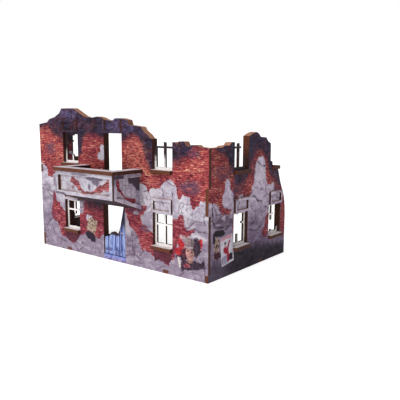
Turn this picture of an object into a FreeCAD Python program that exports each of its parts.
import FreeCAD, Part
import os

# A ruined two-storey corner building for tabletop games, laser-cut from printed fibreboard.
# Three walls, each an outer board glued to an inner board, stand round an open back. The trim,
# the floors, the balcony and the broken front door are separate cut pieces.
#
# Frame: X along the front wall, Y from the front wall towards the open back, Z up, millimetres.
# The pieces are drawn with X = 0 at the middle of the front wall and Y = 0 on its outer face.
# At the end all of them move along Y, so that the origin is the bottom centre of the whole part.
# On a wall, u runs along it (X on the front, Y on the sides) and depth runs inwards from the
# outer face, so trim that stands proud of the wall has a negative depth.

BOARD = 2.5                 # wall, floor, sill and balcony stock
TRIM = 1.5                  # thinner stock: lintel rings, panel frames, window frames, door
FRONT_LENGTH = 170.0
RIGHT_LENGTH = 100.5
LEFT_LENGTH = 64.0
WALL = 2 * BOARD            # outer and inner board together

STOREY = 51.8               # from one floor to the next, so also the underside of the upper floor
HEAD = 41.1                 # underside of the ground storey's openings
SILL_TOP = 18.0             # top of the ground storey's sills
WINDOW_WIDTH = 17.5
WINDOW_SPACING = 46.8       # from the middle of the front wall to the middle of each window
SIDE_WINDOW = 37.1          # middle of the first window on a side wall, from the front

DOOR_WIDTH = 22.4
BALCONY_DOOR_WIDTH = 18.2
THRESHOLD = 4.0             # printed strip of the outer board that runs on under the front door

RING_HEIGHT = 9.6           # lintel ring above an opening
RING_BAR = 1.7
BAR = 1.6                   # window frame: stiles and rails
MUNTIN = 1.5
TRANSOM = 1.3
TRANSOM_ABOVE_SILL = 14.8
FRAME_DEPTH = BOARD         # window frames stand right behind the outer board

BALCONY_OFFSET = -1.5       # the balcony's middle, from the middle of the front wall
BALCONY_REACH = 26.6        # front of the balcony's panel frame, from the wall
BALCONY_HALF = 29.1
BALCONY_FOOT = 41.3         # where its side panels end, on the wall
BALCONY_FRONT_FOOT = 50.4
BALCONY_TOP = 66.8
BALCONY_BAR = 2.7
CAP_OVERHANG = 1.6
CAP_REACH = 27.6
CAP_WIDTH = 8.0

HINGE_PIN = 0.8             # diameter of the door's wire hinge pins
PIN_CLEARANCE = 0.05        # round the pin in its hole
PIN_LENGTH = 4.6
PIN_IN_DOOR = 2.4
DOOR_GAP = 0.3
DOOR_RECESS = 0.9           # door face, behind the outer face of the wall
HINGE_FROM_JAMB = 1.1

TAB = 5.0                   # width of a floor tab
UP = FreeCAD.Vector(0, 0, 1)

# Corner joints: the heights at which the side wall's fingers run out to the front face.
RIGHT_FINGERS = [(0.0, 5.0), (43.0, 60.5)]
LEFT_FINGERS = [(0.0, 10.0), (60.5, 66.5)]

# Ruined top edges, as (u, z) from left to right or from front to back. The gaps in them are the
# windows that have lost their heads.
TALL = 150.0
FRONT_TOP = [
    (-85, 98.7), (-75, 100.2), (-72, 102.6), (-65, 104.3), (-59, 107.3), (-56.5, 110.8),
    (-43, 110.8), (-36, 107.5), (-31, 105), (-27, 104), (-21, 103.8), (-16, 104.6), (-12, 104),
    (-7, 102.2), (0, 101.6), (3, 103.4), (9, 103.4), (15, 102.2), (16.3, 98.8), (21, 98.4),
    (28, 97.6), (29.5, 95.4), (34, 92.6), (36.5, 90.2), (38.05, 90), (55.55, 88.3), (57.6, 88.3),
    (58.5, 87.2), (60, 87.2), (60.8, 88.9), (65.5, 88.9), (66.7, 86.6), (69.2, 85.8), (71, 86.9),
    (75.5, 87), (77, 85.9), (85, 85.2)]
RIGHT_TOP = [
    (0, 85.2), (14.5, 85.4), (16, 86.3), (22.5, 86.5), (24.5, 88.4), (28.35, 88.4), (47, 92.4),
    (50, 93.6), (55.5, 94.6), (59, 93.3), (61, 91.3), (69, 90.7), (71.5, 88), (75.6, 86.3),
    (76, 73.6), (78.6, 73), (79, 69.8), (87.6, 66.9), (89.5, 62), (91.6, 57), (94, 52.4),
    (96, 49.6), (97.6, 46), (99.2, 41), (100, 36), (RIGHT_LENGTH, 30)]
LEFT_TOP = [
    (0, 98.7), (6, 98.2), (9, 96.4), (15, 96), (19, 93.8), (24, 94.2), (28.35, 92.6), (46, 84),
    (49, 84.6), (51.5, 81), (55, 80.2), (57, 75), (56.2, 70), (59, 64), (58.6, 57), (61, 52),
    (60.4, 44), (62.6, 38), (62.2, 30), (LEFT_LENGTH, 22)]

WALLS = {
    "front": (FreeCAD.Vector(0, 0, 0), FreeCAD.Vector(1, 0, 0), FreeCAD.Vector(0, 1, 0)),
    "right": (FreeCAD.Vector(FRONT_LENGTH / 2, 0, 0), FreeCAD.Vector(0, 1, 0), FreeCAD.Vector(-1, 0, 0)),
    "left": (FreeCAD.Vector(-FRONT_LENGTH / 2, 0, 0), FreeCAD.Vector(0, 1, 0), FreeCAD.Vector(1, 0, 0)),
}

parts = {}


# ---------------------------------------------------------------- shapes

def face(corners):
    return Part.Face(Part.makePolygon(corners + corners[:1]))


def plate(wall, outline, start, end):
    """A flat piece parallel to a wall, from one depth to another; outline holds (u, z)."""
    origin, along, inward = WALLS[wall]
    corners = [origin + along * u + inward * start + UP * z for u, z in outline]
    return face(corners).extrude(inward * (end - start))


def block(wall, u, z, depth):
    """A box on a wall, given its ranges of u, z and depth."""
    return plate(wall, rectangle(u, z), *depth)


def deck(outline, bottom, thickness=BOARD):
    """A level piece; outline holds (x, y)."""
    return face([FreeCAD.Vector(x, y, bottom) for x, y in outline]).extrude(UP * thickness)


def rectangle(u, z):
    return [(u[0], z[0]), (u[1], z[0]), (u[1], z[1]), (u[0], z[1])]


def around(middle, width):
    return (middle - width / 2, middle + width / 2)


def upright_cylinder(x, y, bottom, height, diameter):
    return Part.makeCylinder(diameter / 2, height, FreeCAD.Vector(x, y, bottom), UP)


# ---------------------------------------------------------------- openings

# Each window: its wall, the middle of its opening and its storey. The far upper window of the
# right wall has only its sill left.
WINDOWS = {
    "front_left_lower": ("front", -WINDOW_SPACING, 0),
    "front_right_lower": ("front", WINDOW_SPACING, 0),
    "front_left_upper": ("front", -WINDOW_SPACING, 1),
    "front_right_upper": ("front", WINDOW_SPACING, 1),
    "right_near_lower": ("right", SIDE_WINDOW, 0),
    "right_far_lower": ("right", SIDE_WINDOW + WINDOW_SPACING, 0),
    "right_near_upper": ("right", SIDE_WINDOW, 1),
    "left_lower": ("left", SIDE_WINDOW, 0),
    "left_upper": ("left", SIDE_WINDOW, 1),
}
OPEN_TOPPED = ["front_right_upper", "right_near_upper", "left_upper"]
FAR_SILL = (79.05, 86.2)    # what is left of the right wall's far upper window: this much sill


def window_opening(name):
    """The cutter for a window: from under its sill to its head, or to the sky."""
    wall, middle, storey = WINDOWS[name]
    bottom = SILL_TOP - BOARD + storey * STOREY
    top = TALL if name in OPEN_TOPPED else HEAD + storey * STOREY
    return block(wall, around(middle, WINDOW_WIDTH), (bottom, top), (0, WALL))


def door_openings():
    """The front doorway above its threshold, and the balcony doorway above the floor tongue."""
    front_door = block("front", around(0, DOOR_WIDTH), (THRESHOLD, HEAD), (0, BOARD))
    behind_door = block("front", around(0, DOOR_WIDTH), (BOARD, HEAD), (BOARD, WALL))
    balcony_door = block("front", around(0, BALCONY_DOOR_WIDTH), (STOREY, HEAD + STOREY), (0, WALL))
    return [front_door, behind_door, balcony_door]


def far_window_gap():
    """The far upper window, whose far jamb is gone: a seat for the sill, open to the sky."""
    seat = SILL_TOP - BOARD + STOREY
    return block("right", (FAR_SILL[0], RIGHT_LENGTH), (seat, TALL), (0, WALL))


# ---------------------------------------------------------------- floors

FLOOR_TABS = {
    "front": [(47.0, 47.0 + TAB), (-54.0, -54.0 + TAB)],
    "right": [(62.0, 62.0 + TAB)],
    "left": [(17.0, 17.0 + TAB)],
}
UPPER_TABS = {
    "front": [(-64.0, -64.0 + TAB), (26.0, 26.0 + TAB), (66.0, 66.0 + TAB)],
    "right": [(54.0, 54.0 + TAB)],
    "left": [(17.0, 17.0 + TAB)],
}


def tabs(table, bottom, depth):
    return [block(wall, span, (bottom, bottom + BOARD), depth)
            for wall, spans in table.items() for span in spans]


def floors():
    inside = FRONT_LENGTH / 2 - WALL
    ground = [(-inside, WALL), (inside, WALL), (inside, 84), (62, 84), (58, 79), (52, 81),
              (47, 66), (49, 55), (43, 47), (-38, 44), (-52, 47), (-60, 52), (-inside, 52)]
    upper = [(-inside, WALL), (inside, WALL), (inside, 74), (73, 76), (66, 70), (62, 72),
             (57, 60), (59, 52), (49, 44), (40, 46), (31, 39), (20, 41), (12, 35), (-6, 37),
             (-15, 30), (-27, 32), (-38, 26), (-52, 29), (-60, 37), (-70, 39), (-74, 48),
             (-inside, 46)]
    ground_floor = deck(ground, 0).fuse(tabs(FLOOR_TABS, 0, (0, WALL)))
    upper_floor = deck(upper, STOREY).fuse(tabs(UPPER_TABS, STOREY, (BOARD, WALL)))
    parts["ground_floor"] = ground_floor.removeSplitter()
    parts["upper_floor"] = upper_floor.removeSplitter()


# ---------------------------------------------------------------- walls

def finger_blocks(wall, spans):
    """The corner column of a side wall, at the heights where the side wall owns it."""
    return [block(wall, (0, BOARD), span, (0, BOARD)) for span in spans]


def walls():
    half = FRONT_LENGTH / 2
    outlines = {
        "front": [(-half, 0)] + FRONT_TOP + [(half, 0)],
        "right": [(0, 0)] + RIGHT_TOP + [(RIGHT_LENGTH, 0)],
        "left": [(0, 0)] + LEFT_TOP + [(LEFT_LENGTH, 0)],
    }
    fingers = finger_blocks("right", RIGHT_FINGERS) + finger_blocks("left", LEFT_FINGERS)
    floor_slots = tabs(FLOOR_TABS, 0, (0, WALL)) + tabs(UPPER_TABS, STOREY, (BOARD, WALL))
    cutters = [window_opening(name) for name in WINDOWS] + door_openings() + floor_slots
    cutters.append(far_window_gap())
    corner = {"right": (half - BOARD, half), "left": (-half, BOARD - half)}

    for wall, outline in outlines.items():
        outer = plate(wall, outline, 0, BOARD)
        inner = plate(wall, outline, BOARD, WALL)
        if wall == "front":
            outer = outer.cut(fingers)
            inner = inner.cut([block("front", span, (0, TALL), (BOARD, WALL))
                               for span in corner.values()])
            outer = outer.cut([pin_hole(top=True), pin_hole(top=False)])
        else:
            front_column = block("front", corner[wall], (0, TALL), (0, BOARD))
            spans = RIGHT_FINGERS if wall == "right" else LEFT_FINGERS
            outer = outer.cut(front_column).fuse(finger_blocks(wall, spans)).removeSplitter()
            inner = inner.cut(block(wall, (0, WALL), (0, TALL), (BOARD, WALL)))
        parts[wall + "_wall_outer"] = outer.cut(cutters)
        parts[wall + "_wall_inner"] = inner.cut(cutters)


# ---------------------------------------------------------------- trim

def sill_strip(wall, u, storey):
    """A strip that lies on the bottom of an opening and sticks out of the wall's face."""
    top = SILL_TOP + storey * STOREY
    return block(wall, u, (top - BOARD, top), (-BOARD, WALL))


def sills():
    for name, (wall, middle, storey) in WINDOWS.items():
        parts["sill_" + name] = sill_strip(wall, around(middle, WINDOW_WIDTH), storey)
    parts["sill_right_far_upper"] = sill_strip("right", FAR_SILL, 1)


def lintel_ring(wall, middle, width, bottom, top_rail=True):
    """A rectangular ring of thin board that stands proud of the wall above an opening."""
    u = around(middle, width)
    z = (bottom, bottom + RING_HEIGHT)
    outer = block(wall, u, z, (-TRIM, 0))
    inner_top = z[1] - RING_BAR if top_rail else TALL
    inner = block(wall, (u[0] + RING_BAR, u[1] - RING_BAR), (z[0] + RING_BAR, inner_top), (-TRIM, 0))
    return outer.cut(inner)


def lintels():
    for name in ["front_left_lower", "front_right_lower", "front_left_upper",
                 "right_near_lower", "right_far_lower", "left_lower"]:
        wall, middle, storey = WINDOWS[name]
        parts["lintel_" + name] = lintel_ring(wall, middle, WINDOW_WIDTH, HEAD + storey * STOREY)
    # The balcony door's ring has lost its top rail and follows the ruined edge.
    half = FRONT_LENGTH / 2
    standing = plate("front", [(-half, 0)] + FRONT_TOP + [(half, 0)], -TRIM, 0)
    ring = lintel_ring("front", 0, BALCONY_DOOR_WIDTH, HEAD + STOREY, top_rail=False)
    parts["lintel_balcony_door"] = ring.common(standing)


def whole_frame(wall, middle, storey):
    """An unbroken window frame with four panes."""
    sill = SILL_TOP + storey * STOREY
    head = HEAD + storey * STOREY
    transom = around(sill + TRANSOM_ABOVE_SILL, TRANSOM)
    u = around(middle, WINDOW_WIDTH)
    muntin = around(middle, MUNTIN)
    panes = []
    for pane_u in [(u[0] + BAR, muntin[0]), (muntin[1], u[1] - BAR)]:
        for pane_z in [(sill + BAR, transom[0]), (transom[1], head - BAR)]:
            panes.append(block(wall, pane_u, pane_z, (FRAME_DEPTH, FRAME_DEPTH + TRIM)))
    return block(wall, u, (sill, head), (FRAME_DEPTH, FRAME_DEPTH + TRIM)).cut(panes)


# What is broken out of each window frame: outlines of (distance from the middle of the window
# along u, height above the sill's top).
BREAKS = {
    "front_left_lower": [[(-3, 2), (3, 2), (3, 13.2), (0.2, 11.4), (-0.4, 12.8), (-3, 12)]],
    "front_right_lower": [],
    "front_left_upper": [[(-5, 6.6), (-0.2, 6.2), (0.4, 5.2), (3, 5), (6.5, 7), (12, 8.5),
                          (12, 17), (6, 20.5), (-5, 20.5)]],
    "front_right_upper": [[(-12, 15.4), (-1.4, 15.45), (-1.4, 18.4), (1.4, 17.8), (1.4, 15.45),
                           (12, 15.4), (12, 30), (-12, 30)]],
    "right_near_lower": [[(-5, 12), (-0.9, 7.8), (0, 7), (0.9, 7.6), (3, 12), (5.4, 13), (4.9, 17),
                          (3, 18.5), (1, 20.6), (-1, 21.2), (-3, 18), (-5, 17)]],
    "right_far_lower": [[(-3, 9.4), (0.2, 10.6), (1.4, 12), (3, 14), (2.6, 17), (1.4, 17),
                         (1.4, 20.8), (4, 25), (12, 25), (12, 5.5), (5, 3), (-3, 3)]],
    "right_near_upper": [[(-12, 15.45), (-1.4, 15.45), (-1.4, 17.8), (0, 17.2), (1.4, 18), (1.4, 15.45),
                          (3, 15.45), (2.4, 13), (5, 8.5), (8, 7.6), (12, 7), (12, 30), (-12, 30)]],
    "left_lower": [[(-3, 9), (-0.8, 10.2), (0.6, 9.2), (3, 7), (3, 13), (0.3, 12.4), (-3, 13)]],
    "left_upper": [[(-5.6, 30), (-5.6, 17), (-6, 13), (-3, 9), (-0.8, 6.8), (0.9, 6), (3, 4), (6, 4.4),
                    (8, 3), (12, 3.4), (12, 30)]],
}


def window_frames():
    for name, (wall, middle, storey) in WINDOWS.items():
        frame = whole_frame(wall, middle, storey)
        sill = SILL_TOP + storey * STOREY
        for broken in BREAKS[name]:
            outline = [(middle + u, sill + z) for u, z in broken]
            frame = frame.cut(plate(wall, outline, 0, WALL))
        parts["frame_" + name] = frame


# ---------------------------------------------------------------- balcony

def balcony_plate(outline, start, end):
    """A flat piece of the balcony across X, between two X places; outline holds (y, z)."""
    corners = [FreeCAD.Vector(start, y, z) for y, z in outline]
    return face(corners).extrude(FreeCAD.Vector(end - start, 0, 0))


def balcony():
    left = BALCONY_OFFSET - BALCONY_HALF
    right = BALCONY_OFFSET + BALCONY_HALF
    panel_front = TRIM - BALCONY_REACH
    inner_front = panel_front + BOARD
    slope = (BALCONY_FRONT_FOOT - BALCONY_FOOT) / -panel_front

    side_outline = [(0, BALCONY_FOOT), (0, BALCONY_TOP), (panel_front, BALCONY_TOP),
                    (panel_front, BALCONY_FRONT_FOOT)]
    bar = BALCONY_BAR
    # The side frames have no upright against the wall.
    side_window = [(0, BALCONY_FOOT + bar), (0, BALCONY_TOP - bar), (panel_front + bar, BALCONY_TOP - bar),
                   (panel_front + bar, BALCONY_FRONT_FOOT + bar * (1 - slope))]
    for side, edge, inward in [("left", left, 1), ("right", right, -1)]:
        ring = balcony_plate(side_outline, edge, edge + inward * TRIM)
        hollow = balcony_plate(side_window, edge, edge + inward * TRIM)
        parts["balcony_" + side + "_frame"] = ring.cut(hollow)
        parts["balcony_" + side + "_panel"] = balcony_plate(
            side_outline, edge + inward * TRIM, edge + inward * (TRIM + BOARD))

    inner_u = (left + TRIM + BOARD, right - TRIM - BOARD)
    z = (BALCONY_FRONT_FOOT, BALCONY_TOP)
    parts["balcony_front_panel"] = block("front", inner_u, z, (panel_front, inner_front))
    ring = block("front", (left, right), z, (-BALCONY_REACH, panel_front))
    hollow = block("front", (left + bar, right - bar), (z[0] + bar, z[1] - bar),
                   (-BALCONY_REACH, panel_front))
    parts["balcony_front_frame"] = ring.cut(hollow)

    # The floor runs on through the balcony doorway as a tongue that meets the upper floor.
    tongue = around(0, BALCONY_DOOR_WIDTH)
    parts["balcony_floor"] = deck([(inner_u[0], inner_front), (inner_u[1], inner_front), (inner_u[1], 0),
                                   (tongue[1], 0), (tongue[1], WALL), (tongue[0], WALL), (tongue[0], 0),
                                   (inner_u[0], 0)], STOREY)

    # The soffit slopes down to the wall under the floor, between the side panels.
    rise = BOARD * (1 + slope ** 2) ** 0.5
    front_z = BALCONY_FOOT - slope * inner_front
    meets_floor = -(STOREY - BALCONY_FOOT - rise) / slope
    parts["balcony_soffit"] = balcony_plate(
        [(0, BALCONY_FOOT), (inner_front, front_z), (inner_front, STOREY), (meets_floor, STOREY),
         (0, BALCONY_FOOT + rise)], *inner_u)

    cap_left = left - CAP_OVERHANG
    cap_right = right + CAP_OVERHANG
    parts["balcony_rail_cap"] = deck([
        (cap_left, 0), (cap_left, -CAP_REACH), (cap_right, -CAP_REACH), (cap_right, 0),
        (cap_right - CAP_WIDTH, 0), (cap_right - CAP_WIDTH, CAP_WIDTH - CAP_REACH),
        (cap_left + CAP_WIDTH, CAP_WIDTH - CAP_REACH), (cap_left + CAP_WIDTH, 0)], BALCONY_TOP)


# ---------------------------------------------------------------- front door

HINGE_X = DOOR_WIDTH / 2 - HINGE_FROM_JAMB
HINGE_Y = DOOR_RECESS + TRIM / 2


def pin_hole(top):
    """The running hole for a hinge pin, up into the wall over the door or down into the threshold."""
    depth = PIN_LENGTH - PIN_IN_DOOR + DOOR_GAP
    bottom = HEAD if top else THRESHOLD - depth
    return upright_cylinder(HINGE_X, HINGE_Y, bottom, depth, HINGE_PIN + 2 * PIN_CLEARANCE)


def front_door():
    """The broken plank door: its hinge stile still reaches the head of the doorway."""
    free_edge = DOOR_GAP - DOOR_WIDTH / 2
    foot = THRESHOLD + DOOR_GAP
    top = HEAD - DOOR_GAP
    outline = [
        (HINGE_X, foot), (HINGE_X, top), (9.0, top), (8.2, 37), (6.9, 32), (5.7, 27), (4.6, 23.4),
        (3.2, 20.8), (1.6, 20.2), (0.4, 21), (-1.6, 21.6), (-3.8, 21), (-5.4, 19.4), (-5.6, 17.8),
        (-8.4, 17.4), (free_edge, 16.6), (free_edge, foot)]
    leaf = plate("front", outline, DOOR_RECESS, DOOR_RECESS + TRIM)
    hinge_edge = upright_cylinder(HINGE_X, HINGE_Y, foot, top - foot, TRIM)
    leaf = leaf.fuse(hinge_edge).removeSplitter()

    lower = upright_cylinder(HINGE_X, HINGE_Y, foot + PIN_IN_DOOR - PIN_LENGTH, PIN_LENGTH, HINGE_PIN)
    upper = upright_cylinder(HINGE_X, HINGE_Y, top - PIN_IN_DOOR, PIN_LENGTH, HINGE_PIN)
    parts["door_leaf"] = leaf.cut([lower, upper])
    parts["door_pin_lower"] = lower
    parts["door_pin_upper"] = upper


# ---------------------------------------------------------------- the whole part

floors()
walls()
sills()
lintels()
window_frames()
balcony()
front_door()

to_centre = FreeCAD.Vector(0, (CAP_REACH - RIGHT_LENGTH) / 2, 0)
os.makedirs("parts", exist_ok=True)
for name, shape in parts.items():
    shape.translate(to_centre)
    if not shape.isValid() or shape.Volume <= 0:
        print("BAD SHAPE", name)
    print("%-28s %d solid(s) %9.1f mm3" % (name, len(shape.Solids), shape.Volume))
    shape.exportStep("parts/" + name + ".step")
print(len(parts), "pieces")
